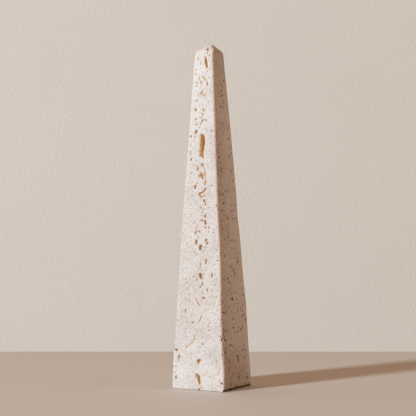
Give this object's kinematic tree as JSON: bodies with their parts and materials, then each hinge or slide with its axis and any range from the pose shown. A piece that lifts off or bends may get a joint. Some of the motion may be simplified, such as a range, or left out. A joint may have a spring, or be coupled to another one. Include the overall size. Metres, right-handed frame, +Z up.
{
  "type": "tabletop travertine obelisk",
  "caption": "Small decorative obelisk cut from one block of unfilled honed travertine: tapering square shaft with a low blunt pyramidion, to stand on a shelf or table.",
  "frame": {"origin": "centre of the foot, on the surface it stands on", "axes": "+Z up the shaft, -Y the front face that shows the seam of voids, +X to its right"},
  "size_m": [0.069, 0.0676, 0.4],
  "materials": {
    "travertine": "matte"
  },
  "bodies": {
    "root": {"obelisk_stone": "travertine"}
  },
  "joints": []
}
